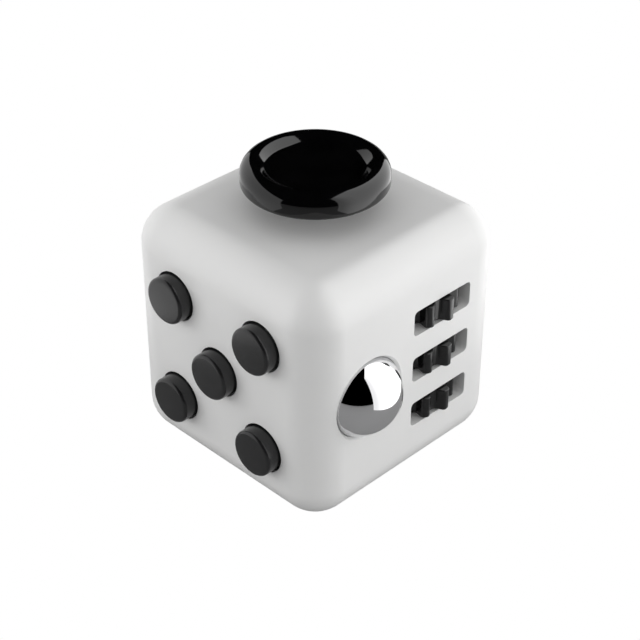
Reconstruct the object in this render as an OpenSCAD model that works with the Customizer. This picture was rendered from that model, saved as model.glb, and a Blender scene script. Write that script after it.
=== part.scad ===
// Six-sided fidget cube: click, roll, glide, spin, flip and rest faces.
// Millimetres, +Z up, standing on its rest face at Z = 0, centred on X = Y = 0.
// The click face looks to -Y, the roll face to +X, the spin dial to -X, the rocker to +Y.

/* [Case] */
// length of every side of the cube
cube_size = 33; // [31:0.5:44]
// radius of every outside edge and corner
corner_radius = 5; // [3.5:0.25:5.5]
// thickness of the case walls
wall = 1.8; // [1.4:0.1:2.2]
// radius of the thumb rest in the bottom cover
thumb_radius = 9; // [6:0.5:10]
// depth of the thumb rest
thumb_depth = 1.8; // [0.8:0.1:2]

/* [Click face] */
// radius of a button cap
button_radius = 3.03; // [2.4:0.05:3.2]
// distance of the outer buttons from the middle, both ways
button_pitch = 7.45; // [7.2:0.05:8.3]
// height of a released cap above the face
button_rise = 1.85; // [1.4:0.05:2.5]
// stroke of a button
button_stroke = 0.8; // [0.4:0.05:1]

/* [Roll face] */
// radius of the steel ball
ball_radius = 5.4; // [4.6:0.05:5.5]
// distance of the ball from the middle of the face
ball_offset = 7.4; // [6.5:0.05:7.8]
// depth of the ball centre under the face
ball_sink = 1.9; // [1.6:0.05:2]
// radius of a wheel over its teeth
wheel_radius = 4.85; // [4.2:0.05:5]
// thickness of a wheel
wheel_width = 3; // [2:0.1:3.2]
// distance from one wheel to the next
wheel_pitch = 6.75; // [6:0.05:7.4]
// distance of the wheel axle from the middle of the face
wheel_offset = 5.1; // [4.8:0.05:5.6]
// depth of the wheel axle under the face
wheel_sink = 3.9; // [3.7:0.05:4.3]
// number of teeth on a wheel
wheel_teeth = 9; // [7:1:10]

/* [Glide face] */
// radius of the gliding pad
pad_radius = 9.1; // [7:0.1:11]
// thickness of the gliding pad at its rim
pad_thickness = 3.1; // [2.6:0.1:4]
// height of the pad above the face
pad_lift = 3; // [1.5:0.1:4]
// radius of the recess in the pad
pad_dish_radius = 6.4; // [4:0.1:6.6]
// radius of the neck that carries the pad
neck_radius = 2; // [1.6:0.05:2.2]
// travel of the pad each way from the middle
glide_travel = 1; // [0.5:0.05:1]

/* [Spin face] */
// radius of the dial
dial_radius = 7.6; // [6:0.1:10]
// height of the dial above the face
dial_rise = 3.2; // [2.4:0.1:3.6]

/* [Flip face] */
// length of the rocker opening
rocker_length = 13.8; // [12:0.1:15]
// width of the rocker opening
rocker_width = 7.5; // [6:0.1:7.6]
// tilt of the rocker each way from level, in degrees
rocker_tilt = 12; // [6:0.5:14]

/* [Hidden] */
$fn = 64;
fit = 0.05;              // running clearance on a shaft, a pin or a screw
half = cube_size / 2;    // middle of the cube to a face
inner = half - wall;     // middle of the cube to the inside of a wall
flat = half - corner_radius;

cover_half = flat - 0.3;         // rest cover, half its side
ledge = 1;                       // step the cover lies on
ledge_z = wall / 2;

hole_radius = button_radius + 0.25;
cap_round = 0.4;
flange_radius = button_radius + 0.87;
flange_top = inner - 0.1;
flange_thickness = 0.6;
plate_front = inner - 2.4;       // click plate, side facing the buttons
plate_thickness = 1;
dome_height = 0.8;
dome_radius = 2.4;
click_boss = button_pitch + 0.75;
boss_radius = 1.6;
screw_radius = 0.7;
screw_head_radius = 1.4;
screw_head = 0.8;

ball_x = half - ball_sink;       // ball centre
ball_pocket = ball_radius + fit;
cup_radius = 4.9;
cup_bore = 4.4;
cup_floor = ball_x - ball_radius - 1.2;
cup_front = cup_floor + 3;
seat_radius = cup_bore - 0.06;
cup_stem_radius = 1.5;
ball_stroke = 0.6;

bracket_back = cup_floor - 3;    // roll bracket plate
bracket_front = bracket_back + 1.5;
bracket_half = 1.5 * wheel_width + wheel_pitch + 0.35 - wheel_width + 1;
axle_x = half - wheel_sink;
axle_radius = 1;
arm_radius = 1.9;
arm_gap = 0.35;
slot_length = 10;
slot_width = wheel_width + 0.5;
roll_boss = wheel_pitch + 1.15;
roll_boss_y = -5.2;
back_boss_y = inner - 2.9;
root_radius = wheel_radius - 1.2;
tooth_foot = 1.3;                // half the tooth at radius 2.5

glide_hole = neck_radius + glide_travel * 1.4143 + 0.086;
disc_radius = 5.2;
disc_top = inner - 0.15;
disc_bottom = inner - 1.8;
carriage_top = disc_bottom - 0.1;
carriage_bottom = carriage_top - 1;
rail_at = 2.2;
rail_width = 0.8;
rail_height = 0.55;
housing_floor = carriage_bottom - 0.1;
housing_bottom = housing_floor - 1;
housing_bore = 7.6;
housing_radius = housing_bore + 1;
ear_at = bracket_front + screw_head_radius + 0.2;
pad_bottom = half + pad_lift;
pad_top = pad_bottom + pad_thickness;
pad_dish_depth = 0.9;
rim_round = 1.65;
foot_round = 0.6;

dial_bottom = half + 0.25;
dial_top = half + dial_rise;
hub_radius = 2.9;
hub_bore = hub_radius + 0.08;
retainer_top = inner - 0.2;
retainer_radius = 4.6;

pin_y = half - 2.5;              // rocker pin
pin_radius = 0.9;
paddle_reach = rocker_length / 2 - 0.2;
paddle_half = rocker_width / 2 - 0.15;
box_half_w = rocker_width / 2 + 0.6;
box_half_l = rocker_length / 2 + 0.6;
box_bottom = pin_y - 4.6;
box_floor = box_bottom + 0.8;
bezel = 1;
bezel_rise = 0.8;

white = [0.93, 0.93, 0.92];
black = [0.09, 0.09, 0.1];
grey = [0.45, 0.46, 0.48];
steel = [0.75, 0.76, 0.78];
brass = [0.8, 0.68, 0.4];
silicone = [0.8, 0.82, 0.84];

// ---- placing: local Z looks out of the face, measured from the middle of the cube ----
module on_front() translate([0, 0, half]) rotate([90, 0, 0]) children();
module on_right() translate([0, 0, half]) rotate([90, 0, 90]) children();
module on_left() translate([0, 0, half]) rotate([90, 0, -90]) children();
module on_back() translate([0, 0, half]) rotate([90, 0, 180]) children();
module on_top() translate([0, 0, half]) children();

module soft_rect(w, h, r) {
    union() {
        square([w, h - 2 * r], center = true);
        square([w - 2 * r, h], center = true);
        for (i = [-1, 1], j = [-1, 1]) translate([i * (w / 2 - r), j * (h / 2 - r)]) circle(r = r);
    }
}

module half_profile(s, r) {
    intersection() {
        translate([r - s / 2, 0]) soft_rect(s, s, r);
        translate([0, -s]) square([s, 2 * s]);
    }
}

// a cube with every edge and corner rounded, put together face to face
module rounded_cube(s, r) {
    f = s / 2 - r;
    rotate([90, 0, 90]) linear_extrude(height = 2 * f, center = true) soft_rect(s, s, r);
    for (a = [0, 180]) rotate([0, 0, a]) translate([f, 0, 0]) rotate([90, 0, 0])
        linear_extrude(height = 2 * f, center = true) half_profile(s, r);
    for (a = [0, 90, 180, 270]) rotate([0, 0, a]) translate([f, f, 0])
        rotate_extrude(angle = 90) half_profile(s, r);
}

module tube(outer, bore, z, h) {
    translate([0, 0, z]) difference() {
        cylinder(r = outer, h = h);
        translate([0, 0, -1]) cylinder(r = bore, h = h + 2);
    }
}

// a screw whose head lies under z = 0, shank upwards
module screw(length) {
    rotate_extrude() polygon([[0, -screw_head], [screw_head_radius - 0.2, -screw_head],
        [screw_head_radius, 0.2 - screw_head], [screw_head_radius, 0], [screw_radius, 0],
        [screw_radius, length - 0.4], [screw_radius - 0.3, length], [0, length]]);
}

button_places = [[-button_pitch, button_pitch], [button_pitch, button_pitch], [0, 0],
    [-button_pitch, -button_pitch], [button_pitch, -button_pitch]];
click_bosses = [[0, click_boss], [0, -click_boss], [-click_boss, 0]];
roll_bosses = [[roll_boss_y, roll_boss], [roll_boss_y, -roll_boss], [back_boss_y, 0]];
wheel_heights = [wheel_pitch, 0, -wheel_pitch];
glide_ears = [[ear_at, ear_at], [-ear_at, ear_at], [-ear_at, -ear_at], [ear_at, -ear_at]];

// ---- case ----
module shell() color(white) difference() {
    union() {
        difference() {
            on_top() rounded_cube(cube_size, corner_radius);
            on_top() rounded_cube(2 * inner, corner_radius - wall);
        }
        on_front() for (p = click_bosses) translate([p[0], p[1], plate_front + fit])
            cylinder(r = boss_radius, h = inner - plate_front + 0.4);
        on_right() for (p = roll_bosses) translate([p[0], p[1], bracket_front + fit])
            cylinder(r = 1.45, h = inner - bracket_front + 0.4);
        on_top() for (p = glide_ears) translate([p[0], p[1], housing_floor + fit])
            cylinder(r = boss_radius, h = inner - housing_floor + 0.4);
    }
    // click face
    on_front() for (p = button_places) translate([p[0], p[1], 0]) {
        translate([0, 0, inner - 1]) cylinder(r = hole_radius, h = wall + 2);
        translate([0, 0, half - 0.15]) cylinder(r1 = hole_radius, r2 = hole_radius + 0.3, h = 0.3);
    }
    on_front() for (p = click_bosses) translate([p[0], p[1], plate_front - 1])
        cylinder(r = screw_radius + fit, h = 3.6);
    // roll face
    on_right() translate([-ball_offset, 0, ball_x]) {
        sphere(r = ball_pocket, $fn = 96);
        translate([0, 0, ball_sink - 0.45])
            cylinder(r1 = ball_pocket - 0.3, r2 = ball_pocket + 0.325, h = 0.75, $fn = 96);
    }
    on_right() for (z = wheel_heights) translate([wheel_offset, z, inner - 1])
        linear_extrude(height = wall + 2) soft_rect(slot_length, slot_width, 0.6);
    on_right() for (p = roll_bosses) translate([p[0], p[1], bracket_front - 1])
        cylinder(r = screw_radius + fit, h = 6);
    // glide face
    on_top() translate([0, 0, inner - 1]) cylinder(r = glide_hole, h = wall + 2);
    on_top() translate([0, 0, half - 0.15]) cylinder(r1 = glide_hole, r2 = glide_hole + 0.3, h = 0.3);
    on_top() for (p = glide_ears) translate([p[0], p[1], housing_floor - 1])
        cylinder(r = screw_radius + fit, h = 4);
    // spin face
    on_left() translate([0, 0, inner - 1]) cylinder(r = hub_bore, h = wall + 2);
    // flip face
    on_back() translate([0, 0, inner - 1]) linear_extrude(height = wall + 2)
        soft_rect(2 * box_half_w + 2 * fit, 2 * box_half_l + 2 * fit, 0.8);
    // rest face
    translate([0, 0, -1]) linear_extrude(height = ledge_z + 1)
        soft_rect(2 * cover_half + 2 * fit, 2 * cover_half + 2 * fit, 1.5);
    linear_extrude(height = wall + 1)
        soft_rect(2 * (cover_half - ledge + fit), 2 * (cover_half - ledge + fit), 1.2);
}

module bottom_cover() color(white) {
    ball = (thumb_radius * thumb_radius + thumb_depth * thumb_depth) / (2 * thumb_depth);
    in = cover_half - ledge;
    difference() {
        union() {
            linear_extrude(height = ledge_z - fit) soft_rect(2 * cover_half, 2 * cover_half, 1.45);
            linear_extrude(height = wall) soft_rect(2 * in, 2 * in, 1.15);
            cylinder(r = thumb_radius + 0.4, h = thumb_depth + 1.2);
            for (a = [0, 90, 180, 270]) rotate([0, 0, a]) {
                translate([in - 0.8, -2, 0.4]) cube([0.8, 4, wall + 1.6]);
                translate([in - 0.4, -2, wall + 0.1]) rotate([90, 0, 0]) translate([0, 0, -4])
                    linear_extrude(height = 4) polygon([[0, 0], [0.9, 0], [0.9, 0.4], [0, 1.5]]);
            }
        }
        translate([0, 0, thumb_depth - ball]) sphere(r = ball, $fn = 128);
    }
}

// ---- click face ----
module click_plate() color(grey) on_front() translate([0, 0, plate_front - plate_thickness])
    linear_extrude(height = plate_thickness) difference() {
        union() {
            for (p = button_places) translate(p) circle(r = dome_radius + 0.5);
            for (p = click_bosses) translate(p) circle(r = boss_radius + 0.5);
            for (a = [45, 135]) rotate(a) square([2 * button_pitch * 1.41, 3], center = true);
            square([3, 2 * click_boss], center = true);
            translate([-click_boss / 2, 0]) square([click_boss, 3], center = true);
        }
        for (p = click_bosses) translate(p) circle(r = screw_radius + fit);
    }

module click_plate_screws() color(steel) on_front() for (p = click_bosses)
    translate([p[0], p[1], plate_front - plate_thickness]) screw(3.4);

module place_button(i) on_front() translate([button_places[i][0], button_places[i][1], 0]) children();

module snap_dome() rotate_extrude() polygon([[dome_radius, plate_front], [dome_radius, plate_front + 0.2],
    [dome_radius * 0.62, plate_front + dome_height - 0.08], [0, plate_front + dome_height],
    [0, plate_front + dome_height - 0.2], [dome_radius * 0.57, plate_front + dome_height - 0.3],
    [dome_radius - 0.3, plate_front]]);

module soft_pad() rotate_extrude() polygon([[0, plate_front], [dome_radius - 0.2, plate_front],
    [dome_radius - 0.2, plate_front + 0.35], [1.3, plate_front + dome_height], [0, plate_front + dome_height]]);

module click_dome_1() color(brass) place_button(0) snap_dome();
module click_dome_2() color(brass) place_button(1) snap_dome();
module click_dome_3() color(brass) place_button(2) snap_dome();
module quiet_pad_1() color(silicone) place_button(3) soft_pad();
module quiet_pad_2() color(silicone) place_button(4) soft_pad();

module button() {
    front = half + button_rise;
    rotate_extrude() union() {
        polygon([[0, plate_front + dome_height + fit], [1.2, plate_front + dome_height + fit],
            [1.2, flange_top - flange_thickness], [flange_radius, flange_top - flange_thickness],
            [flange_radius, flange_top], [button_radius, flange_top], [button_radius, front - cap_round],
            [button_radius - cap_round, front - cap_round], [button_radius - cap_round, front], [0, front]]);
        intersection() {
            translate([button_radius - cap_round, front - cap_round]) circle(r = cap_round);
            translate([0, front - cap_round]) square([button_radius, cap_round]);
        }
    }
}
module button_1() color(black) place_button(0) button();
module button_2() color(black) place_button(1) button();
module button_3() color(black) place_button(2) button();
module button_4() color(black) place_button(3) button();
module button_5() color(black) place_button(4) button();

// ---- roll face ----
module at_ball() on_right() translate([-ball_offset, 0, 0]) children();

module roll_bracket() color(grey) difference() {
    union() {
        on_right() translate([0, 0, bracket_back]) linear_extrude(height = 1.5) union() {
            translate([-ball_offset, 0]) circle(r = 3.2);
            translate([roll_boss_y - 1.9, -bracket_half]) square([3.8, 2 * bracket_half]);
            translate([-ball_offset, -2.5]) square([ball_offset + back_boss_y - 1, 5]);
            translate([back_boss_y, 0]) circle(r = 1.9);
            translate([wheel_offset - arm_radius, -bracket_half]) square([2 * arm_radius, 2 * bracket_half]);
        }
        for (s = [-1, 1]) {
            bracket_arm(half + s * (bracket_half - 0.5), 1);
            bracket_arm(half + s * wheel_pitch / 2, wheel_pitch - wheel_width - 2 * arm_gap);
        }
    }
    at_ball() translate([0, 0, bracket_back - 1]) cylinder(r = cup_stem_radius + fit, h = 4);
    translate([axle_x, wheel_offset, half - bracket_half - 1])
        cylinder(r = axle_radius + 0.03, h = 2 * bracket_half + 2);
    on_right() for (p = roll_bosses) translate([p[0], p[1], bracket_back - 1]) {
        cylinder(r = screw_radius + fit, h = 4);
        cylinder(r = screw_head_radius + 0.1, h = 1 + screw_head + fit);
    }
}

module bracket_arm(z, t) {
    translate([bracket_front - 0.2, wheel_offset - arm_radius, z - t / 2])
        cube([axle_x - bracket_front + 0.2, 2 * arm_radius, t]);
    translate([axle_x, wheel_offset, z - t / 2]) cylinder(r = arm_radius, h = t);
}

module roll_bracket_screws() color(steel) on_right() for (p = roll_bosses)
    translate([p[0], p[1], bracket_back + screw_head + fit - 0.02]) screw(5);

module wheel_axle() color(steel) translate([axle_x, wheel_offset, half - bracket_half])
    cylinder(r = axle_radius, h = 2 * bracket_half);

module wheel_outline() difference() {
    union() {
        circle(r = root_radius);
        for (i = [0 : wheel_teeth - 1]) rotate(i * 360 / wheel_teeth)
            polygon([[2.5, -tooth_foot], [wheel_radius - 0.3, -0.6], [wheel_radius - 0.1, -0.44],
                [wheel_radius, -0.2], [wheel_radius, 0.2], [wheel_radius - 0.1, 0.44],
                [wheel_radius - 0.3, 0.6], [2.5, tooth_foot]]);
    }
    circle(r = axle_radius + 0.06);
}
module wheel(z) translate([axle_x, wheel_offset, half + z - wheel_width / 2]) rotate([0, 0, 9.3])
    linear_extrude(height = wheel_width) wheel_outline();
module wheel_upper() color(black) wheel(wheel_heights[0]);
module wheel_middle() color(black) wheel(wheel_heights[1]);
module wheel_lower() color(black) wheel(wheel_heights[2]);

module ball() color(steel) at_ball() translate([0, 0, ball_x]) sphere(r = ball_radius, $fn = 128);

module ball_seat() color(silicone) at_ball() difference() {
    translate([0, 0, cup_floor + 0.9]) cylinder(r = seat_radius, h = 1.9);
    translate([0, 0, ball_x]) sphere(r = ball_radius + fit, $fn = 96);
    translate([0, 0, cup_floor]) cylinder(r = 1.5, h = 4);
}

module ball_cup() color(grey) at_ball() rotate_extrude() polygon([[0, bracket_back - 0.8],
    [cup_stem_radius, bracket_back - 0.8], [cup_stem_radius, cup_floor], [cup_radius - 0.4, cup_floor],
    [cup_radius, cup_floor + 0.4], [cup_radius, cup_front], [cup_bore, cup_front],
    [cup_bore, cup_floor + 0.8], [0, cup_floor + 0.8]]);

module ball_spring() color(brass) at_ball() rotate_extrude() polygon([
    [3, bracket_front], [3, bracket_front + 0.25], [1.9, cup_floor - fit],
    [cup_stem_radius + 0.15, cup_floor - fit], [cup_stem_radius + 0.15, cup_floor - fit - 0.25],
    [2.7, bracket_front]]);

// ---- glide face ----
module glide_housing() color(grey) on_top() difference() {
    union() {
        translate([0, 0, housing_bottom]) cylinder(r = housing_radius, h = inner - fit - housing_bottom);
        translate([0, 0, housing_bottom]) linear_extrude(height = housing_floor - housing_bottom) union() {
            for (p = glide_ears) translate(p) circle(r = boss_radius + 0.3);
            for (a = [45, 135]) rotate(a) square([2.828 * ear_at, 3], center = true);
        }
    }
    difference() {
        translate([0, 0, housing_floor]) cylinder(r = housing_bore, h = 10);
        for (s = [-1, 1]) translate([-5.6, s * rail_at - rail_width / 2, housing_floor - 1])
            cube([11.2, rail_width, rail_height + 1]);
    }
    for (p = glide_ears) {
        translate([p[0], p[1], housing_bottom - 1]) cylinder(r = screw_radius + fit, h = 4);
        translate([p[0], p[1], housing_floor]) cylinder(r = boss_radius + 0.15, h = 10);
    }
}

module glide_screws() color(steel) on_top() for (p = glide_ears)
    translate([p[0], p[1], housing_bottom]) screw(3.4);

module glide_carriage() color(black) on_top() difference() {
    union() {
        translate([-4.8, -4, carriage_bottom]) cube([9.6, 8, carriage_top - carriage_bottom]);
        for (s = [-1, 1]) translate([s * rail_at - rail_width / 2, -4, carriage_bottom + 0.5])
            cube([rail_width, 8, carriage_top - carriage_bottom + rail_height - 0.4]);
    }
    for (s = [-1, 1]) translate([-6, s * rail_at - rail_width / 2 - 0.1, carriage_bottom - 1])
        cube([12, rail_width + 0.2, rail_height + 1.05]);
    translate([0, 0, carriage_bottom - 1]) cylinder(r = 1.2, h = 4);
}

module joystick_stem() color(black) on_top() difference() {
    rotate_extrude() polygon([[0, disc_bottom], [disc_radius, disc_bottom], [disc_radius, disc_top],
        [neck_radius + 0.3, disc_top], [neck_radius, disc_top + 0.3], [neck_radius, pad_bottom],
        [1.5, pad_bottom], [1.5, pad_bottom + 0.8], [0, pad_bottom + 0.8]]);
    for (s = [-1, 1]) translate([s * rail_at - rail_width / 2 - 0.1, -6, disc_bottom - 1])
        cube([rail_width + 0.2, 12, rail_height + 1.15]);
    translate([0, 0, disc_bottom - 1]) cylinder(r = screw_radius + fit, h = 12);
    translate([0, 0, disc_bottom - 1]) cylinder(r = screw_head_radius + 0.1, h = 1.05 + screw_head);
}

module pad_screw() color(steel) on_top() translate([0, 0, disc_bottom + screw_head]) screw(pad_bottom
    + 1.7 - disc_bottom - screw_head);

module glide_pad() color(black) on_top() difference() {
    rotate_extrude() difference() {
        union() {
            translate([0, pad_bottom]) square([pad_radius - rim_round, pad_thickness]);
            translate([0, pad_bottom + foot_round]) square([pad_radius, pad_thickness - rim_round - foot_round]);
            intersection() {
                translate([pad_radius - rim_round, pad_top - rim_round]) circle(r = rim_round, $fn = 96);
                translate([0, pad_top - rim_round]) square([pad_radius, rim_round]);
            }
            intersection() {
                translate([pad_radius - foot_round, pad_bottom + foot_round]) circle(r = foot_round);
                translate([0, pad_bottom]) square([pad_radius, foot_round]);
            }
            translate([0, pad_bottom]) square([pad_radius - foot_round, foot_round + 0.1]);
        }
        polygon([[-1, pad_top + 1], [pad_dish_radius + 0.8, pad_top + 1], [pad_dish_radius + 0.8, pad_top],
            [pad_dish_radius, pad_top - pad_dish_depth / 2], [pad_dish_radius - 0.4, pad_top - pad_dish_depth],
            [-1, pad_top - pad_dish_depth]]);
        translate([-1, pad_bottom - 1]) square([1 + 1.5 + fit, 1.85]);
        translate([-1, pad_bottom]) square([1 + screw_radius + fit, 1.8]);
    }
}

module centering_ring() color(silicone) on_top() tube(housing_bore - 0.1, disc_radius + 0.1, disc_bottom + 0.2, 1.2);

// ---- spin face ----
module dial_knob() color(black) on_left() difference() {
    rotate_extrude() polygon([[0, retainer_top + 0.03], [hub_radius, retainer_top + 0.03],
        [hub_radius, dial_bottom], [dial_radius - 0.4, dial_bottom], [dial_radius, dial_bottom + 0.4],
        [dial_radius, dial_top - 0.9], [dial_radius - 0.6, dial_top - 0.2], [dial_radius - 2, dial_top],
        [0, dial_top]]);
    for (i = [0 : 17]) rotate([0, 0, i * 20]) translate([dial_radius + 0.55, 0, dial_bottom - 1])
        cylinder(r = 0.95, h = dial_rise + 2, $fn = 32);
    translate([0, dial_radius * 0.48, dial_top + 3.9]) sphere(r = 5, $fn = 96);
    translate([0, 0, retainer_top - 1]) cylinder(r = screw_radius + fit, h = 4.6);
}

module dial_retainer() color(grey) on_left() tube(retainer_radius, screw_radius + fit, retainer_top - 1, 1);

module dial_screw() color(steel) on_left() translate([0, 0, retainer_top - 1]) screw(4.4);

// ---- flip face ----
module rocker_housing() color(black) on_back() difference() {
    union() {
        translate([0, 0, box_bottom]) linear_extrude(height = half + 0.1 - box_bottom)
            soft_rect(2 * box_half_w, 2 * box_half_l, 0.75);
        translate([0, 0, half + 0.02]) linear_extrude(height = bezel_rise)
            soft_rect(2 * (box_half_w + bezel), 2 * (box_half_l + bezel), 1.4);
    }
    translate([-rocker_width / 2, -rocker_length / 2, box_floor])
        cube([rocker_width, rocker_length, half + 5 - box_floor]);
    translate([-10, 0, pin_y]) rotate([0, 90, 0]) cylinder(r = pin_radius + fit, h = 20);
}

module rocker_pin() color(steel) on_back() translate([-box_half_w, 0, pin_y]) rotate([0, 90, 0])
    cylinder(r = pin_radius, h = 2 * box_half_w);

module rocker_retainer() color(grey) on_back() translate([0, 0, inner - 0.85]) linear_extrude(height = 0.8)
    difference() {
        soft_rect(2 * (box_half_w + 1.15), 2 * (box_half_l + 1.1), 1.4);
        soft_rect(2 * (box_half_w + fit), 2 * (box_half_l + fit), 0.8);
    }

module rocker_contact() color(brass) on_back() translate([0, 0, box_floor]) rotate([90, 0, 90])
    linear_extrude(height = 5, center = true) polygon([[-5, 0], [5, 0], [5, 0.2], [0, 0.45], [-5, 0.2]]);

module paddle_frame() on_back() translate([0, 0, pin_y]) rotate([rocker_tilt, 0, 0]) children();

module rocker_paddle() color(black) paddle_frame() difference() {
    rotate([90, 0, 90]) linear_extrude(height = 2 * paddle_half, center = true) union() {
        intersection() {
            circle(r = paddle_reach, $fn = 128);
            polygon([[-9, -1.5], [9, -1.5], [9, 4.2], [0, 3.1], [-9, 4.2]]);
        }
        translate([-1.5, -2.4]) square([3, 1.5]);
    }
    translate([-10, 0, 0]) rotate([0, 90, 0]) cylinder(r = pin_radius + fit, h = 20);
    translate([0, 0, -3]) cylinder(r = 0.8 + fit, h = 1.75);
}

module rocker_plunger() color(steel) paddle_frame() rotate_extrude() polygon([[0, -3.3], [0.4, -3.3],
    [0.8, -2.9], [0.8, -1.3], [0, -1.3]]);

shell();
bottom_cover();
click_plate();
click_plate_screws();
click_dome_1();
click_dome_2();
click_dome_3();
quiet_pad_1();
quiet_pad_2();
roll_bracket();
roll_bracket_screws();
wheel_axle();
ball_spring();
glide_housing();
glide_screws();
centering_ring();
rocker_housing();
rocker_pin();
rocker_retainer();
rocker_contact();
button_1();
button_2();
button_3();
button_4();
button_5();
glide_carriage();
joystick_stem();
glide_pad();
pad_screw();
ball_cup();
ball_seat();
ball();
wheel_upper();
wheel_middle();
wheel_lower();
dial_knob();
dial_retainer();
dial_screw();
rocker_paddle();
rocker_plunger();
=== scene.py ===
import math

import bmesh
import bpy
from mathutils import Matrix, Vector


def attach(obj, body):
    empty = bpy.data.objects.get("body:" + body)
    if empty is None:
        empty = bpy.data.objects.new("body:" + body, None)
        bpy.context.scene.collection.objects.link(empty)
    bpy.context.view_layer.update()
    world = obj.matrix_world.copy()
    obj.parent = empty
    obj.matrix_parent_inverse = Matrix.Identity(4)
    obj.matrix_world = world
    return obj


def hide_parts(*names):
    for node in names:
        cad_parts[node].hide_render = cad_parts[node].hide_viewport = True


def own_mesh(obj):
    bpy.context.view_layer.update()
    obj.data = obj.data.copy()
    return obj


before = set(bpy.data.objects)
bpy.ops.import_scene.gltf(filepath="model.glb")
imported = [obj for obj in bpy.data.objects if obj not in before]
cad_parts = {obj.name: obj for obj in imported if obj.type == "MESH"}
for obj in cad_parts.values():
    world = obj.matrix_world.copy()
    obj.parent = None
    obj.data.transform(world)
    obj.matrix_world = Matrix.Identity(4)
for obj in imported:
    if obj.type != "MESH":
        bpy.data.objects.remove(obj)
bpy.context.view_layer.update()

MM = 0.001
HALF = 16.5            # middle of the cube to a face
WALL = 1.8
INNER = HALF - WALL
EDGE = 5.0             # outside rounding
FULL_TURN = 2 * math.pi

# ---- the five ways a face can look; local Z points out of the face ----
MIDDLE = Matrix.Translation((0, 0, HALF))
STAND = Matrix.Rotation(math.radians(90), 4, "X")
TOP = MIDDLE
FRONT = MIDDLE @ STAND
RIGHT = MIDDLE @ Matrix.Rotation(math.radians(90), 4, "Z") @ STAND
LEFT = MIDDLE @ Matrix.Rotation(math.radians(-90), 4, "Z") @ STAND
BACK = MIDDLE @ Matrix.Rotation(math.radians(180), 4, "Z") @ STAND


# ---------------------------------------------------------------- finishes
CLOUD_MM = 6.0         # size of the slow drift in colour and level


def finish_nodes(name):
    mat = bpy.data.materials.new(name)
    mat.use_nodes = True
    tree = mat.node_tree
    shader = tree.nodes["Principled BSDF"]
    place = tree.nodes.new("ShaderNodeTexCoord")
    return mat, tree, shader, place


def grain(tree, place, size_mm, detail=3.0, rough=0.6, stretch=None):
    """Fine noise whose features are about size_mm across."""
    noise = tree.nodes.new("ShaderNodeTexNoise")
    noise.inputs["Scale"].default_value = 1.0 / (size_mm * MM)
    noise.inputs["Detail"].default_value = detail
    noise.inputs["Roughness"].default_value = rough
    if stretch:
        mapping = tree.nodes.new("ShaderNodeMapping")
        mapping.inputs["Scale"].default_value = stretch
        tree.links.new(place.outputs["Object"], mapping.inputs["Vector"])
        tree.links.new(mapping.outputs["Vector"], noise.inputs["Vector"])
    else:
        tree.links.new(place.outputs["Object"], noise.inputs["Vector"])
    return noise.outputs["Fac"]


def spread(tree, source, low, high):
    """The source's 0.3 to 0.7 becomes low to high."""
    node = tree.nodes.new("ShaderNodeMapRange")
    node.inputs["From Min"].default_value = 0.3
    node.inputs["From Max"].default_value = 0.7
    node.inputs["To Min"].default_value = low
    node.inputs["To Max"].default_value = high
    tree.links.new(source, node.inputs["Value"])
    return node.outputs["Result"]


def two_tone(tree, source, dark, light):
    mix = tree.nodes.new("ShaderNodeMix")
    mix.data_type = "RGBA"
    mix.inputs["A"].default_value = (*dark, 1)
    mix.inputs["B"].default_value = (*light, 1)
    tree.links.new(spread(tree, source, 0, 1), mix.inputs["Factor"])
    return mix.outputs["Result"]


def bumps(tree, source, depth_mm, strength=1.0, after=None):
    bump = tree.nodes.new("ShaderNodeBump")
    bump.inputs["Distance"].default_value = depth_mm * MM
    bump.inputs["Strength"].default_value = strength
    tree.links.new(source, bump.inputs["Height"])
    if after:
        tree.links.new(after, bump.inputs["Normal"])
    return bump.outputs["Normal"]


def moulded(name, colour, vary, rough, grain_mm, depth_mm):
    """Moulded plastic: slow colour drift, a fine eroded texture and uneven gloss."""
    mat, tree, shader, place = finish_nodes(name)
    cloud = grain(tree, place, CLOUD_MM, 2.0)
    fine = grain(tree, place, grain_mm, 4.0, 0.65)
    dark = tuple(max(c - vary, 0) for c in colour)
    light = tuple(min(c + vary, 1) for c in colour)
    tree.links.new(two_tone(tree, cloud, dark, light), shader.inputs["Base Color"])
    tree.links.new(spread(tree, fine, rough[0], rough[1]), shader.inputs["Roughness"])
    swell = bumps(tree, cloud, depth_mm * 2, 0.4)
    tree.links.new(bumps(tree, fine, depth_mm, 1.0, swell), shader.inputs["Normal"])
    return mat


def metal(name, colour, vary, rough, grain_mm, depth_mm, stretch=None):
    """Bare or plated metal with fine marks."""
    mat, tree, shader, place = finish_nodes(name)
    shader.inputs["Metallic"].default_value = 1.0
    marks = grain(tree, place, grain_mm, 5.0, 0.6, stretch)
    dark = tuple(max(c - vary, 0) for c in colour)
    light = tuple(min(c + vary, 1) for c in colour)
    tree.links.new(two_tone(tree, marks, dark, light), shader.inputs["Base Color"])
    tree.links.new(spread(tree, marks, rough[0], rough[1]), shader.inputs["Roughness"])
    tree.links.new(bumps(tree, marks, depth_mm), shader.inputs["Normal"])
    return mat


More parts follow.
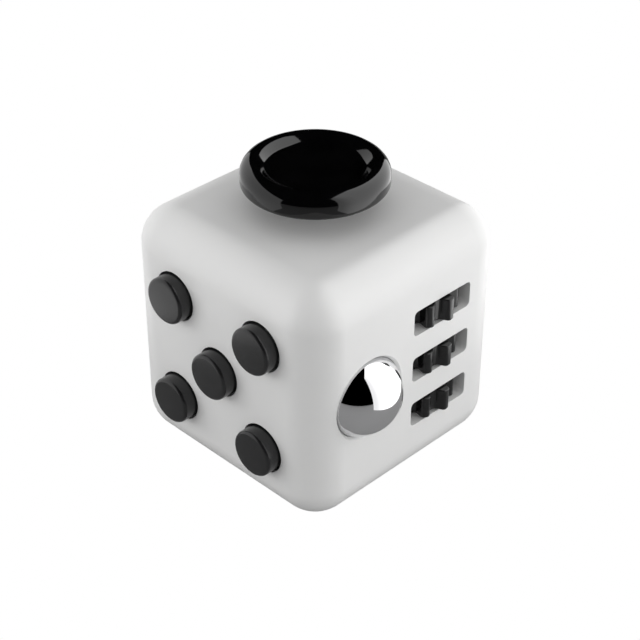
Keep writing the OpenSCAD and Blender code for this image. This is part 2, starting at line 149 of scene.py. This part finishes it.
# name, colour, colour drift, least and most roughness, grain in mm, grain depth in mm
CASE_WHITE = moulded("satin white case plastic",
    (0.80, 0.80, 0.795), 0.006, (0.34, 0.44), 0.12, 0.0009)
COVER_WHITE = moulded("satin white cover plastic",
    (0.79, 0.79, 0.785), 0.006, (0.36, 0.46), 0.12, 0.0009)
PAD_BLACK = moulded("polished black pad plastic",
    (0.0016, 0.0016, 0.0018), 0.0006, (0.05, 0.085), 0.25, 0.0002)
BUTTON_BLACK = moulded("satin charcoal button plastic",
    (0.012, 0.012, 0.0125), 0.002, (0.2, 0.3), 0.09, 0.0007)
WHEEL_BLACK = moulded("glossy black wheel plastic",
    (0.006, 0.006, 0.0063), 0.0015, (0.2, 0.28), 0.05, 0.0003)
DIAL_BLACK = moulded("satin black dial plastic",
    (0.014, 0.014, 0.0145), 0.003, (0.26, 0.36), 0.1, 0.001)
ROCKER_BLACK = moulded("smooth black rocker plastic",
    (0.011, 0.011, 0.012), 0.002, (0.18, 0.28), 0.12, 0.0006)
STEM_BLACK = moulded("black acetal", (0.014, 0.014, 0.015), 0.003, (0.3, 0.4), 0.15, 0.0008)
NYLON_GREY = moulded("grey nylon", (0.075, 0.077, 0.08), 0.008, (0.4, 0.55), 0.2, 0.002)
SILICONE = moulded("milky silicone", (0.42, 0.44, 0.46), 0.015, (0.45, 0.6), 0.15, 0.001)
CHROME = metal("polished chrome ball", (0.74, 0.74, 0.75), 0.004, (0.012, 0.03), 0.3, 0.00004)
ZINC = metal("zinc plated screw steel", (0.62, 0.63, 0.65), 0.05, (0.24, 0.4), 0.2, 0.001)
GROUND = metal("ground pin steel", (0.6, 0.6, 0.62), 0.04, (0.18, 0.3), 0.25, 0.0008, (1, 1, 12))
SPRING_BRASS = metal("rolled spring brass",
    (0.72, 0.56, 0.28), 0.05, (0.2, 0.34), 0.2, 0.0008, (1, 8, 1))


# ---------------------------------------------------------------- making
WELD = 0.0005          # points closer than this become one


def outline(points, closed=False):
    """A wire through a few points, ready to be rounded, filled or spun."""
    bm = bmesh.new()
    verts = [bm.verts.new(p) for p in points]
    for a, b in zip(verts, verts[1:]):
        bm.edges.new((a, b))
    if closed:
        bm.edges.new((verts[-1], verts[0]))
    return bm, verts


def soften_corner(bm, vert, radius, segments=6):
    bmesh.ops.bevel(bm, geom=[vert], offset=radius, offset_type="OFFSET", segments=segments,
                    profile=0.5, affect="VERTICES", material=-1, clamp_overlap=True)


def turned(profile, steps=96):
    """A body of revolution about Z. profile lists (radius, height, rounding)."""
    bm, verts = outline([(r, 0, z) for r, z, _ in profile])
    for vert, (_, _, rounding) in zip(verts, profile):
        if rounding:
            soften_corner(bm, vert, rounding)
    bmesh.ops.spin(bm, geom=bm.verts[:] + bm.edges[:], cent=(0, 0, 0), axis=(0, 0, 1),
                   angle=FULL_TURN, steps=steps, use_merge=True)
    bmesh.ops.remove_doubles(bm, verts=bm.verts[:], dist=WELD)
    bmesh.ops.recalc_face_normals(bm, faces=bm.faces[:])
    return bm


def plate(width, length, corner, bottom, top, segments=6):
    """A rounded rectangle standing from bottom to top."""
    bm = bmesh.new()
    bmesh.ops.create_grid(bm, x_segments=1, y_segments=1, size=0.5)
    bmesh.ops.scale(bm, vec=(width, length, 1), verts=bm.verts[:])
    if corner:
        bmesh.ops.bevel(bm, geom=bm.verts[:], offset=corner, offset_type="OFFSET",
                        segments=segments, profile=0.5, affect="VERTICES", material=-1)
    bmesh.ops.translate(bm, vec=(0, 0, bottom), verts=bm.verts[:])
    draw_out(bm, (0, 0, top - bottom))
    return bm


def draw_out(bm, way):
    """Turns flat faces into a solid that reaches along way."""
    made = bmesh.ops.extrude_face_region(bm, geom=bm.faces[:], use_keep_orig=True)
    bmesh.ops.translate(bm, vec=way,
                        verts=[g for g in made["geom"] if isinstance(g, bmesh.types.BMVert)])
    bmesh.ops.recalc_face_normals(bm, faces=bm.faces[:])


def moved(bm, matrix):
    bmesh.ops.transform(bm, matrix=matrix, verts=bm.verts[:])
    return bm


def add(target, other):
    """Puts a copy of other into target, and frees other."""
    mesh = bpy.data.meshes.new("scratch")
    other.to_mesh(mesh)
    target.from_mesh(mesh)
    bpy.data.meshes.remove(mesh)
    other.free()
    return target


def round_edges(bm, radius, chosen, segments=3):
    """Rounds the edges for which chosen(edge) is true."""
    edges = [e for e in bm.edges if len(e.link_faces) == 2 and chosen(e)]
    if edges:
        bmesh.ops.bevel(bm, geom=edges, offset=radius, offset_type="OFFSET", segments=segments,
                        profile=0.5, affect="EDGES", material=-1, clamp_overlap=True)


def is_sharp(edge, degrees=50):
    return edge.calc_face_angle(0) > math.radians(degrees)


def shape(bm, tool, operation):
    """bm joined with or cut by tool; both are closed and in millimetres."""
    objects = []
    for label, part in (("work", bm), ("tool", tool)):
        mesh = bpy.data.meshes.new(label)
        part.to_mesh(mesh)
        part.free()
        obj = bpy.data.objects.new(label, mesh)
        bpy.context.scene.collection.objects.link(obj)
        objects.append(obj)
    work, cutter = objects
    step = work.modifiers.new("shape", "BOOLEAN")
    step.operation = operation
    step.solver = "EXACT"
    step.object = cutter
    result = bmesh.new()
    result.from_mesh(bpy.data.meshes.new_from_object(
        work.evaluated_get(bpy.context.evaluated_depsgraph_get())))
    for obj in objects:
        bpy.data.objects.remove(obj)
    bmesh.ops.remove_doubles(result, verts=result.verts[:], dist=WELD)
    return result


def finished(bm, name, body, nodes, material, place=None, sharp=32, even=True):
    """The piece in metres, in its place, smooth but for its sharp edges."""
    if place is not None:
        moved(bm, place)
    bmesh.ops.scale(bm, vec=(MM, MM, MM), verts=bm.verts[:])
    mesh = bpy.data.meshes.new(name)
    bm.to_mesh(mesh)
    bm.free()
    mesh.shade_smooth()
    mesh.set_sharp_from_angle(angle=math.radians(sharp))
    obj = bpy.data.objects.new(name, mesh)
    bpy.context.scene.collection.objects.link(obj)
    mesh.materials.append(material)
    if even:
        weighted = obj.modifiers.new("even shading", "WEIGHTED_NORMAL")
        weighted.keep_sharp = True
        weighted.weight = 50
    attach(obj, body)
    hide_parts(*nodes)
    return obj


# ---------------------------------------------------------------- case
# All lengths from here on are in millimetres.
BUTTON_PITCH = 7.45
BUTTON_HOLE = 3.28
CAP_RADIUS = 3.03
CAP_FRONT = HALF + 1.85
BUTTONS = [(-BUTTON_PITCH, BUTTON_PITCH), (BUTTON_PITCH, BUTTON_PITCH), (0, 0),
           (-BUTTON_PITCH, -BUTTON_PITCH), (BUTTON_PITCH, -BUTTON_PITCH)]
BALL_OFFSET = 7.4
BALL_SINK = 1.9
BALL_CENTRE = HALF - BALL_SINK
BALL_RADIUS = 5.4
BALL_POCKET = BALL_RADIUS + 0.05
WHEEL_PITCH = 6.75
WHEEL_OFFSET = 5.1
WHEEL_AXLE = HALF - 3.9
GLIDE_HOLE = 3.5
HUB_HOLE = 2.98
COVER_HALF = 11.2
LEDGE = 1.0
BOX_HALF_WIDTH = 4.35
BOX_HALF_LENGTH = 7.5
FIT = 0.05             # clearance round a fitted piece
THROUGH = (INNER - 1, HALF + 2)        # far enough to cut right through a wall
SOFT_EDGE = 0.16       # rounding of the mouths of the openings


def rounded_cube(side, radius, segments):
    bm = bmesh.new()
    bmesh.ops.create_cube(bm, size=side)
    bmesh.ops.bevel(bm, geom=bm.edges[:], offset=radius, offset_type="OFFSET", segments=segments,
                    profile=0.5, affect="EDGES", material=-1)
    return bm


def rod(radius, low, high, steps=64):
    return turned([(0, low, 0), (radius, low, 0), (radius, high, 0), (0, high, 0)], steps)


def at(x, y):
    return Matrix.Translation((x, y, 0))


def make_shell():
    bm = rounded_cube(2 * HALF, EDGE, 20)
    cavity = rounded_cube(2 * INNER, EDGE - WALL, 10)
    bmesh.ops.reverse_faces(cavity, faces=cavity.faces[:])
    add(bm, cavity)
    # screw bosses inside
    bosses = bmesh.new()
    boss_root = INNER + 0.4
    boss_at = BUTTON_PITCH + 0.75
    bracket_at, glide_at = 7.9, 8.1
    for x, y in ((0, boss_at), (0, -boss_at), (-boss_at, 0)):
        add(bosses, moved(rod(1.6, INNER - 2.35, boss_root, 40), FRONT @ at(x, y)))
    for x, y in ((-5.2, bracket_at), (-5.2, -bracket_at), (INNER - 2.9, 0)):
        add(bosses, moved(rod(1.45, 6.55, boss_root, 40), RIGHT @ at(x, y)))
    for x in (-glide_at, glide_at):
        for y in (-glide_at, glide_at):
            add(bosses, moved(rod(1.6, 11.75, boss_root, 40), TOP @ at(x, y)))
    moved(bosses, MIDDLE.inverted())
    bm = shape(bm, bosses, "UNION")
    # openings
    tools = bmesh.new()
    for x, y in BUTTONS:
        add(tools, moved(rod(BUTTON_HOLE, *THROUGH, 72), FRONT @ at(x, y)))
    add(tools, moved(ball_pocket(), RIGHT @ at(-BALL_OFFSET, 0)))
    for z in (WHEEL_PITCH, 0, -WHEEL_PITCH):
        add(tools, moved(plate(10, 3.5, 0.6, *THROUGH), RIGHT @ at(WHEEL_OFFSET, z)))
    add(tools, moved(rod(GLIDE_HOLE, *THROUGH, 72), TOP))
    add(tools, moved(rod(HUB_HOLE, *THROUGH, 72), LEFT))
    add(tools, moved(plate(2 * (BOX_HALF_WIDTH + FIT), 2 * (BOX_HALF_LENGTH + FIT), 0.8, *THROUGH),
                     BACK))
    cover_side = 2 * (COVER_HALF + FIT)
    window_side = cover_side - 2 * LEDGE
    add(tools, plate(cover_side, cover_side, 1.5, -1, WALL / 2))
    add(tools, plate(window_side, window_side, 1.2, WALL / 2 - 0.3, WALL + 1))
    moved(tools, MIDDLE.inverted())
    bm = shape(bm, tools, "DIFFERENCE")

    def on_skin(edge):
        reach = max(max(abs(c) for c in v.co) for v in edge.verts)
        low = min(max(abs(c) for c in v.co) for v in edge.verts)
        return low > HALF - 0.5 and is_sharp(edge, 24) and reach < HALF + 0.001
    round_edges(bm, SOFT_EDGE, on_skin)
    finished(bm, "case_shell", "case", ["shell"], CASE_WHITE, MIDDLE)


def ball_pocket():
    """Ball-shaped seat with a short flare at its mouth."""
    bm = bmesh.new()
    bmesh.ops.create_uvsphere(bm, u_segments=96, v_segments=48, radius=BALL_POCKET)
    bmesh.ops.translate(bm, vec=(0, 0, BALL_CENTRE), verts=bm.verts[:])
    low, high = BALL_CENTRE + 1.3, HALF + 0.45
    flare = turned([(0, low, 0), (BALL_POCKET - 0.384, low, 0), (BALL_POCKET + 0.45, high, 0),
                    (0, high, 0)], 96)
    return shape(bm, flare, "UNION")


def make_cover():
    bm = plate(2 * COVER_HALF, 2 * COVER_HALF, 1.45, 0, WALL / 2 - FIT)
    inner = COVER_HALF - LEDGE
    bm = shape(bm, plate(2 * inner, 2 * inner, 1.15, 0.2, WALL), "UNION")
    bm = shape(bm, rod(9.4, 0.3, 3.0, 96), "UNION")
    hooks = bmesh.new()
    for turn in range(4):
        hook, _ = outline([(inner - 0.8, -2, 0.4), (inner, -2, 0.4), (inner, -2, WALL + 0.1),
                           (inner + 0.5, -2, WALL + 0.1), (inner + 0.5, -2, WALL + 0.5),
                           (inner, -2, WALL + 1.33), (inner - 0.8, -2, WALL + 1.6)], closed=True)
        bmesh.ops.contextual_create(hook, geom=hook.edges[:])
        draw_out(hook, (0, 4, 0))
        add(hooks, moved(hook, Matrix.Rotation(math.radians(90 * turn), 4, "Z")))
    bm = shape(bm, hooks, "UNION")
    # the thumb dish is the cap of a large ball
    depth, reach = 1.8, 9.0
    ball = (reach * reach + depth * depth) / (2 * depth)
    dish = bmesh.new()
    bmesh.ops.create_uvsphere(dish, u_segments=128, v_segments=256, radius=ball)
    bmesh.ops.rotate(dish, matrix=Matrix.Rotation(math.radians(180), 3, "X"), verts=dish.verts[:])
    bmesh.ops.translate(dish, vec=(0, 0, depth - ball), verts=dish.verts[:])
    bm = shape(bm, dish, "DIFFERENCE")
    round_edges(bm, SOFT_EDGE,
                lambda e: is_sharp(e, 15) and all(v.co.z < 0.01 for v in e.verts), 4)
    finished(bm, "rest_cover", "case", ["bottom_cover"], COVER_WHITE, sharp=28)


# ---------------------------------------------------------------- buttons
def make_button(number, place):
    stem, flange = 1.2, 3.9
    stem_end, flange_back, flange_front = INNER - 1.55, INNER - 0.7, INNER - 0.1
    bm = turned([(0, stem_end, 0), (stem, stem_end, 0.15), (stem, flange_back, 0),
                 (flange, flange_back, 0.1), (flange, flange_front, 0.1),
                 (CAP_RADIUS, flange_front, 0), (CAP_RADIUS, CAP_FRONT, 0.42),
                 (0, CAP_FRONT, 0)], 96)
    name = "button_%d" % number
    finished(bm, name + "_cap", name + "_body", [name], BUTTON_BLACK,
             FRONT @ at(*place), sharp=40)


# ---------------------------------------------------------------- roll face
def make_ball():
    bm = bmesh.new()
    bmesh.ops.create_uvsphere(bm, u_segments=160, v_segments=80, radius=BALL_RADIUS)
    finished(bm, "steel_ball", "ball_body", ["ball"], CHROME,
             RIGHT @ Matrix.Translation((-BALL_OFFSET, 0, BALL_CENTRE)), even=False)


def make_wheel(label, height):
    teeth, tip, root, width = 9, 4.85, 3.65, 3.0
    half_tip, half_foot, bore, clear_of_bore = 0.51, 0.9, 1.06, 2.0
    rest_turn = math.radians(9.3)
    pitch = FULL_TURN / teeth

    def on_root(angle):
        return root * math.cos(angle), root * math.sin(angle), 0

    # one tooth, from the middle of one valley to the middle of the next
    foot = math.asin(half_foot / root)
    between = (pitch / 2 + foot) / 2
    bm, v = outline([on_root(-pitch / 2), on_root(-between), on_root(-foot), (tip, -half_tip, 0),
                     (tip, half_tip, 0), on_root(foot), on_root(between), on_root(pitch / 2)])
    for corner, radius in ((v[3], 0.36), (v[4], 0.36), (v[2], 0.24), (v[5], 0.24)):
        soften_corner(bm, corner, radius, 7)
    bmesh.ops.spin(bm, geom=bm.verts[:] + bm.edges[:], cent=(0, 0, 0), axis=(0, 0, 1),
                   angle=FULL_TURN, steps=teeth, use_duplicate=True)
    bmesh.ops.remove_doubles(bm, verts=bm.verts[:], dist=0.002)
    bmesh.ops.delete(bm, geom=bm.faces[:], context="FACES_ONLY")
    bmesh.ops.create_circle(bm, segments=48, radius=bore)
    bmesh.ops.triangle_fill(bm, edges=bm.edges[:], use_beauty=True)
    bmesh.ops.translate(bm, vec=(0, 0, -width / 2), verts=bm.verts[:])
    draw_out(bm, (0, 0, width))
    bmesh.ops.dissolve_limit(bm, angle_limit=math.radians(0.5), verts=bm.verts[:],
                             edges=bm.edges[:])
    round_edges(bm, 0.28, lambda e: is_sharp(e, 60)
                and abs(e.verts[0].co.z - e.verts[1].co.z) < 0.01
                and e.verts[0].co.to_2d().length > clear_of_bore, 5)
    place = Matrix.Translation((WHEEL_AXLE, WHEEL_OFFSET, HALF + height)) \
        @ Matrix.Rotation(rest_turn, 4, "Z")
    finished(bm, "thumb_" + label, label + "_body", [label], WHEEL_BLACK, place,
             sharp=40)


# ---------------------------------------------------------------- glide face
PAD_BOTTOM = HALF + 3.0
PAD_TOP = HALF + 6.1
PAD_RADIUS = 9.1
PAD_SCREW_HOLE = 0.75


def make_pad():
    low, high, floor = PAD_BOTTOM, PAD_TOP, PAD_TOP - 0.9
    bm = turned([(0, low + 1.8, 0), (PAD_SCREW_HOLE, low + 1.8, 0), (PAD_SCREW_HOLE, low + 0.85, 0),
                 (1.55, low + 0.85, 0), (1.55, low, 0.05), (PAD_RADIUS, low, 0.6),
                 (PAD_RADIUS, high, 1.65), (7.15, high, 0.45), (6.4, high - 0.5, 0.3),
                 (5.9, floor, 0.3), (0, floor, 0)], 192)
    finished(bm, "glide_pad_disc", "joystick", ["glide_pad"], PAD_BLACK, TOP, sharp=40)


def make_stem():
    low, high = INNER - 1.8, INNER - 0.15
    bm = turned([(0, low + 0.85, 0), (1.5, low + 0.85, 0), (1.5, low, 0), (5.2, low, 0.1),
                 (5.2, high, 0.15), (2.0, high, 0.3), (2.0, PAD_BOTTOM, 0), (1.5, PAD_BOTTOM, 0),
                 (1.5, PAD_BOTTOM + 0.8, 0.1), (0, PAD_BOTTOM + 0.8, 0)], 96)
    grooves = bmesh.new()
    for x in (-2.2, 2.2):
        add(grooves, moved(plate(1.0, 14, 0, low - 1, low + 0.7), at(x, 0)))
    bm = shape(bm, grooves, "DIFFERENCE")
    bm = shape(bm, rod(PAD_SCREW_HOLE, low - 1, HALF + 5, 32), "DIFFERENCE")
    finished(bm, "glide_stem", "joystick", ["joystick_stem"], STEM_BLACK, TOP)


# ---------------------------------------------------------------- spin face
def make_dial():
    low, high, radius, hub_end = HALF + 0.25, HALF + 3.2, 7.6, INNER - 0.17
    flutes = 18
    bm = turned([(0, INNER + 2.1, 0), (0.75, INNER + 2.1, 0), (0.75, hub_end, 0), (2.9, hub_end, 0),
                 (2.9, low, 0.1), (radius, low, 0.4), (radius, high - 0.5, 0.7),
                 (radius - 1.6, high, 0.9), (0, high, 0)], 144)
    grips = bmesh.new()
    for turn in range(flutes):
        grip = moved(rod(0.95, low - 1, high + 1, 32), at(radius + 0.55, 0))
        add(grips, moved(grip, Matrix.Rotation(turn * FULL_TURN / flutes, 4, "Z")))
    bm = shape(bm, grips, "DIFFERENCE")
    dimple = bmesh.new()
    bmesh.ops.create_uvsphere(dimple, u_segments=96, v_segments=96, radius=5)
    bmesh.ops.translate(dimple, vec=(0, radius * 0.48, high + 3.9), verts=dimple.verts[:])
    bm = shape(bm, dimple, "DIFFERENCE")
    round_edges(bm, 0.12,
                lambda e: is_sharp(e, 25) and min(v.co.z for v in e.verts) > low + 0.2)
    finished(bm, "spin_dial_knob", "dial", ["dial_knob"], DIAL_BLACK, LEFT,
             sharp=35)


# ---------------------------------------------------------------- flip face
PIN = HALF - 2.5       # height of the pivot pin
PIN_HOLE = 0.95
TILT = 12              # degrees that the paddle leans at rest
BEZEL_TOP = HALF + 0.82
ACROSS = Matrix.Rotation(math.radians(90), 4, "Y")


def make_rocker_box():
    floor, low = PIN - 3.8, PIN - 4.6
    bm = plate(2 * BOX_HALF_WIDTH, 2 * BOX_HALF_LENGTH, 0.75, low, HALF + 0.1)
    bezel = plate(2 * BOX_HALF_WIDTH + 2, 2 * BOX_HALF_LENGTH + 2, 1.4, HALF + 0.02, BEZEL_TOP)
    bm = shape(bm, bezel, "UNION")
    bm = shape(bm, plate(7.5, 13.8, 0.25, floor, HALF + 3, 3), "DIFFERENCE")
    bore = moved(rod(PIN_HOLE, -10, 10, 32), Matrix.Translation((0, 0, PIN)) @ ACROSS)
    bm = shape(bm, bore, "DIFFERENCE")
    round_edges(bm, 0.25, lambda e: is_sharp(e)
                and all(abs(v.co.z - BEZEL_TOP) < 0.01 for v in e.verts), 5)
    finished(bm, "rocker_box", "case", ["rocker_housing"], ROCKER_BLACK, BACK,
             sharp=40)


def make_rocker():
    reach, half, end = 6.7, 3.6, 7.2
    bm, v = outline([(-half, -end, -1.5), (-half, end, -1.5), (-half, end, 3.96), (-half, 0, 3.1),
                     (-half, -end, 3.96)], closed=True)
    soften_corner(bm, v[3], 3.0, 8)
    bmesh.ops.contextual_create(bm, geom=bm.edges[:])
    draw_out(bm, (2 * half, 0, 0))
    bm = shape(bm, moved(rod(reach, -half - 1, half + 1, 128), ACROSS), "INTERSECT")
    bm = shape(bm, plate(2 * half - 0.02, 3, 0.2, -2.4, -1.2), "UNION")
    bm = shape(bm, moved(rod(PIN_HOLE, -10, 10, 32), ACROSS), "DIFFERENCE")
    bm = shape(bm, rod(0.85, -3, -1.25, 32), "DIFFERENCE")
    round_edges(bm, 0.35, lambda e: is_sharp(e, 40) and min(v.co.z for v in e.verts) > 1.2, 5)
    place = BACK @ Matrix.Translation((0, 0, PIN)) @ Matrix.Rotation(math.radians(TILT), 4, "X")
    finished(bm, "rocker_cap", "rocker", ["rocker_paddle"], ROCKER_BLACK, place,
             sharp=40)


make_shell()
make_cover()
for number, place in enumerate(BUTTONS, 1):
    make_button(number, place)
make_ball()
for label, height in (("wheel_upper", WHEEL_PITCH), ("wheel_middle", 0),
                      ("wheel_lower", -WHEEL_PITCH)):
    make_wheel(label, height)
make_pad()
make_stem()
make_dial()
make_rocker_box()
make_rocker()

# ---------------------------------------------------------------- pieces kept from the frame
KEPT = {
    NYLON_GREY: ["click_plate", "roll_bracket", "glide_housing", "ball_cup", "dial_retainer",
                 "rocker_retainer"],
    ZINC: ["click_plate_screws", "roll_bracket_screws", "glide_screws", "pad_screw", "dial_screw"],
    GROUND: ["wheel_axle", "rocker_pin", "rocker_plunger"],
    SPRING_BRASS: ["rocker_contact"],
    SILICONE: ["centering_ring", "ball_seat"],
    STEM_BLACK: ["glide_carriage"],
}
for material, names in KEPT.items():
    for name in names:
        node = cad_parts[name]
        node.data.materials.clear()
        node.data.materials.append(material)


# ---------------------------------------------------------------- springs and soft pads
def make_soft(name, material):
    """A sprung piece with its exact outline, copied from the frame."""
    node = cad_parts[name]
    bm = bmesh.new()
    bm.from_mesh(node.data)
    bm.transform(node.matrix_world)
    bmesh.ops.scale(bm, vec=(1 / MM, 1 / MM, 1 / MM), verts=bm.verts[:])
    bmesh.ops.remove_doubles(bm, verts=bm.verts[:], dist=WELD)
    obj = finished(bm, "soft_" + name, "case", [name], material, even=False)
    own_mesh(obj)


SOFT_STOPS = ["click_dome_1", "click_dome_2", "click_dome_3", "quiet_pad_1", "quiet_pad_2"]
for number, name in enumerate(SOFT_STOPS, 1):
    clicks = name.startswith("click")
    make_soft(name,
              SPRING_BRASS if clicks else SILICONE)
make_soft("ball_spring", SPRING_BRASS)


# ---------------------------------------------------------------- set: floor, light and camera
# Here lengths are in metres and angles in degrees.
OBJECT_MIDDLE = (0, 0, HALF * MM)
RIGHT_FILL = 3.0
LEFT_FILL = 2.5
AMBIENT = 0.6
TABLE_GREY = 0.36


def emission(name, near, far, start=0.0, stop=1.0):
    """Light that runs from near to far between two places along a card's width, in metres."""
    mat = bpy.data.materials.new(name)
    mat.use_nodes = True
    tree = mat.node_tree
    tree.nodes.clear()
    out = tree.nodes.new("ShaderNodeOutputMaterial")
    glow = tree.nodes.new("ShaderNodeEmission")
    place = tree.nodes.new("ShaderNodeTexCoord")
    part = tree.nodes.new("ShaderNodeSeparateXYZ")
    ramp = tree.nodes.new("ShaderNodeMapRange")
    ramp.interpolation_type = "SMOOTHSTEP"
    ramp.inputs["From Min"].default_value = start
    ramp.inputs["From Max"].default_value = stop
    ramp.inputs["To Min"].default_value = near
    ramp.inputs["To Max"].default_value = far
    tree.links.new(place.outputs["Object"], part.inputs["Vector"])
    tree.links.new(part.outputs["X"], ramp.inputs["Value"])
    tree.links.new(ramp.outputs["Result"], glow.inputs["Strength"])
    tree.links.new(glow.outputs["Emission"], out.inputs["Surface"])
    return mat


def direction(azimuth, elevation):
    """The way from the object to something; azimuth 0 is the front, 90 the right."""
    turn, lift = math.radians(azimuth), math.radians(elevation)
    return Vector((math.sin(turn) * math.cos(lift), -math.cos(turn) * math.cos(lift),
                   math.sin(lift)))


def card(name, material, width, height, azimuth, elevation, distance, target=OBJECT_MIDDLE):
    """A flat card that faces the object from one side."""
    bm = bmesh.new()
    bmesh.ops.create_grid(bm, x_segments=1, y_segments=1, size=0.5)
    bmesh.ops.scale(bm, vec=(width, height, 1), verts=bm.verts[:])
    mesh = bpy.data.meshes.new(name)
    bm.to_mesh(mesh)
    bm.free()
    mesh.materials.append(material)
    obj = bpy.data.objects.new(name, mesh)
    bpy.context.scene.collection.objects.link(obj)
    out = direction(azimuth, elevation)
    obj.location = Vector(target) + out * distance
    obj.rotation_euler = out.to_track_quat("Z", "Y").to_euler()
    return obj


def seen_by(obj, camera, bounce, mirror, shadow):
    """Which rays meet a card: the camera's, soft bounces, mirror bounces, and shadow rays."""
    obj.visible_camera = camera
    obj.visible_diffuse = bounce
    obj.visible_glossy = mirror
    obj.visible_shadow = shadow


def upright(name, material, width, height, azimuth, distance, slide):
    """A standing card, moved sideways by slide, that shows in polished surfaces only."""
    turn = math.radians(azimuth)
    foot = (slide * math.cos(turn), slide * math.sin(turn), height / 2)
    seen_by(card(name, material, width, height, azimuth, 0, distance, foot),
            False, False, True, False)


def fill_light(name, material, azimuth):
    """A wide low card that lights the case and shows in nothing."""
    seen_by(card(name, material, 0.5, 0.25, azimuth, 6, 0.3), False, True, False, False)


def flat(name, material, side, depth):
    """A level sheet under the object, depth below its middle."""
    obj = card(name, material, side, side, 0, -90, depth)
    obj.rotation_euler = (0, 0, 0)
    return obj


upright("mirror_right", emission("right soft box", 1.15, 2.0, -0.06, -0.02),
        0.138, 0.167, 137, 0.0405, -0.0035)
upright("mirror_left", emission("left soft box", 1.0, 1.0), 0.118, 0.075, -64, 0.0405, 0.016)
fill_light("light_right", emission("right fill", RIGHT_FILL, RIGHT_FILL), 128)
fill_light("light_left", emission("left fill", LEFT_FILL, LEFT_FILL), -45)

FLOOR_GREY = bpy.data.materials.new("grey table")
FLOOR_GREY.use_nodes = True
table_shader = FLOOR_GREY.node_tree.nodes["Principled BSDF"]
table_shader.inputs["Base Color"].default_value = (TABLE_GREY, TABLE_GREY, TABLE_GREY, 1)
table_shader.inputs["Roughness"].default_value = 0.9
seen_by(flat("table", FLOOR_GREY, 4, 0.0171), False, True, True, True)
seen_by(flat("pale_floor", emission("pale floor", 1.0, 1.0), 40, 0.0175),
        True, False, False, False)

world = bpy.data.worlds.new("studio")
bpy.context.scene.world = world
world.use_nodes = True
tree = world.node_tree
backdrop = tree.nodes["Background"]
backdrop.inputs["Color"].default_value = (1, 1, 1, 1)
# white behind the object, a little even light on it, nothing in its reflections
ray = tree.nodes.new("ShaderNodeLightPath")
even_light = tree.nodes.new("ShaderNodeMath")
even_light.operation = "MULTIPLY"
even_light.inputs[1].default_value = AMBIENT
level = tree.nodes.new("ShaderNodeMath")
level.operation = "ADD"
tree.links.new(ray.outputs["Is Diffuse Ray"], even_light.inputs[0])
tree.links.new(even_light.outputs["Value"], level.inputs[0])
tree.links.new(ray.outputs["Is Camera Ray"], level.inputs[1])
tree.links.new(level.outputs["Value"], backdrop.inputs["Strength"])

camera_data = bpy.data.cameras.new("camera")
camera_data.sensor_width = 36
camera_data.lens = 93.5
camera_data.shift_x = 0.0073
camera_data.shift_y = -0.0039
camera_data.clip_start = 0.01
camera_data.clip_end = 20
camera = bpy.data.objects.new("camera", camera_data)
bpy.context.scene.collection.objects.link(camera)
back = direction(45.05, 34.27)
camera.location = Vector(OBJECT_MIDDLE) + back * 0.2099
camera.rotation_euler = back.to_track_quat("Z", "Y").to_euler()
bpy.context.scene.camera = camera
bpy.context.scene.view_settings.view_transform = "Standard"
